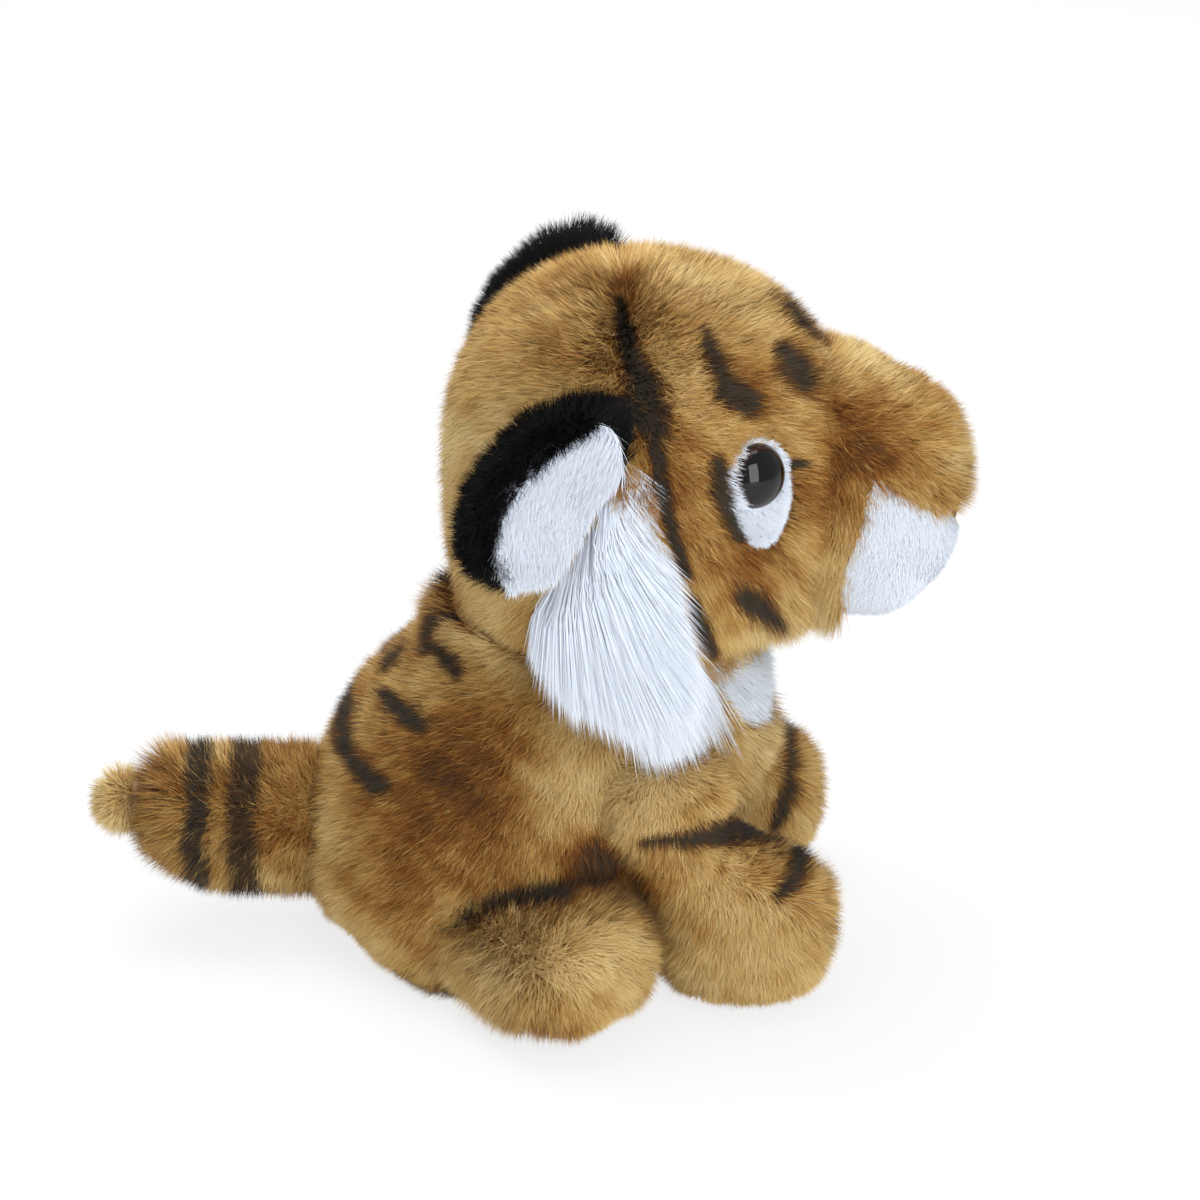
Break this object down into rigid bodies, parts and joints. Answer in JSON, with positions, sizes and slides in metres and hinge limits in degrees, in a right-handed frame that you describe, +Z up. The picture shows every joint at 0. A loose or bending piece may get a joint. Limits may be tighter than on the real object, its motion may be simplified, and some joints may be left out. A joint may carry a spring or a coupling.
{
  "type": "plush tiger",
  "caption": "Sitting long-pile plush tiger with a turning head and sprung ears, legs and tail.",
  "frame": {"origin": "under the middle of the toy, on the floor it sits on", "axes": "+X from the tail to the muzzle, +Y to the tiger's own left, +Z up"},
  "size_m": [0.1941, 0.135, 0.1598],
  "materials": {
    "tan_plush": "long soft pile, tan tips over orange-brown",
    "white_plush": "soft pile, cool white",
    "black_plush": "short dense pile, black",
    "white_felt": "short brushed pile, white",
    "velvet": "velvet, dark brown",
    "polyester_fill": "loose white fibre",
    "pellet_pouch": "plain woven cotton",
    "eye_plastic": "polished, clear over dark brown",
    "washer_plastic": "natural moulded",
    "sewing_thread": "spun polyester thread"
  },
  "bodies": {
    "trunk": {"trunk_skin": "tan_plush", "chest_bib": "white_plush", "trunk_stuffing": "polyester_fill", "pellet_pouch": "pellet_pouch"},
    "head": {"head_skin": "tan_plush", "muzzle_panel": "white_plush", "head_stuffing": "polyester_fill", "nose": "velvet", "eye_right": "eye_plastic", "eye_left": "eye_plastic", "eye_washer_right": "washer_plastic", "eye_washer_left": "washer_plastic", "eye_patch_right": "white_felt", "eye_patch_left": "white_felt", "cheek_ruff_right": "white_plush", "cheek_ruff_left": "white_plush"},
    "ear_right": {"ear_back_right": "black_plush", "ear_lining_right": "white_plush"},
    "ear_left": {"ear_back_left": "black_plush", "ear_lining_left": "white_plush"},
    "foreleg_right": {"foreleg_right_skin": "tan_plush", "foreleg_right_stuffing": "polyester_fill"},
    "foreleg_left": {"foreleg_left_skin": "tan_plush", "foreleg_left_stuffing": "polyester_fill"},
    "hind_leg_right": {"hind_leg_right_skin": "tan_plush", "hind_leg_right_stuffing": "polyester_fill"},
    "hind_leg_left": {"hind_leg_left_skin": "tan_plush", "hind_leg_left_stuffing": "polyester_fill"},
    "tail": {"tail_skin": "tan_plush", "tail_stuffing": "polyester_fill", "tail_tuft": "tan_plush", "tail_thread": "sewing_thread"}
  },
  "joints": [
    {"name": "head_turn", "type": "hinge", "parent": "trunk", "child": "head", "pos_m": [0.012, 0, 0.077], "axis": [0, 0, 1], "range_deg": [-20, 20], "stiffness_Nm_per_rad": 0.03},
    {"name": "ear_right_fold", "type": "hinge", "parent": "head", "child": "ear_right", "pos_m": [0.0145, -0.04525, 0.1195], "axis": [0.5722, 0.0742, 0.8168], "range_deg": [-6, 20], "stiffness_Nm_per_rad": 0.01},
    {"name": "ear_left_fold", "type": "hinge", "parent": "head", "child": "ear_left", "pos_m": [0.0145, 0.04525, 0.1195], "axis": [-0.5722, 0.0742, -0.8168], "range_deg": [-6, 20], "stiffness_Nm_per_rad": 0.01},
    {"name": "foreleg_right_lift", "type": "hinge", "parent": "trunk", "child": "foreleg_right", "pos_m": [0.03, -0.0315, 0.046], "axis": [0, -1, 0], "range_deg": [0, 20], "stiffness_Nm_per_rad": 0.02},
    {"name": "foreleg_left_lift", "type": "hinge", "parent": "trunk", "child": "foreleg_left", "pos_m": [0.03, 0.0315, 0.046], "axis": [0, -1, 0], "range_deg": [0, 20], "stiffness_Nm_per_rad": 0.02},
    {"name": "hind_leg_right_lift", "type": "hinge", "parent": "trunk", "child": "hind_leg_right", "pos_m": [-0.006, -0.035, 0.0168], "axis": [-0.558, -0.7142, -0.4226], "range_deg": [0, 18], "stiffness_Nm_per_rad": 0.02},
    {"name": "hind_leg_left_lift", "type": "hinge", "parent": "trunk", "child": "hind_leg_left", "pos_m": [-0.006, 0.035, 0.0168], "axis": [0.558, -0.7142, 0.4226], "range_deg": [0, 18], "stiffness_Nm_per_rad": 0.02},
    {"name": "tail_swing", "type": "hinge", "parent": "trunk", "child": "tail", "pos_m": [-0.049, 0, 0.0265], "axis": [0, 0, 1], "range_deg": [-25, 25], "stiffness_Nm_per_rad": 0.02}
  ]
}
